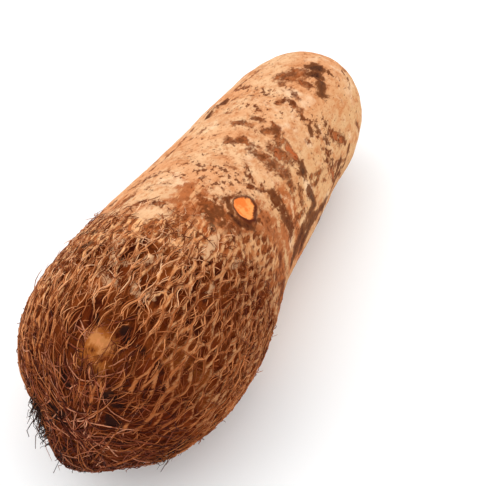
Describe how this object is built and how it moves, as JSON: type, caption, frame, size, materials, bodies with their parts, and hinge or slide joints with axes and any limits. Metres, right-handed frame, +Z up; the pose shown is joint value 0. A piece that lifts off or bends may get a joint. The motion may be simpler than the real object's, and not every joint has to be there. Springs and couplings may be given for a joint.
{
  "type": "malanga corm",
  "caption": "Club-shaped hairy root vegetable lying on its side, with a raised fibre net round the thick butt, a smoother pale tip and a broken side-bud scar",
  "frame": {"origin": "On the ground, under the middle of the corm's box", "axes": "+X runs along the corm from the hairy butt to the smooth tip, +Z is up as it lies, and -Y is the side with the broken bud scar"},
  "size_m": [0.245, 0.0859, 0.0878],
  "materials": {
    "skin": "dry matt brown corm skin under a mat of tan leaf fibres, paler and barer towards the tip"
  },
  "bodies": {
    "root": {"malanga": "skin"}
  },
  "joints": []
}
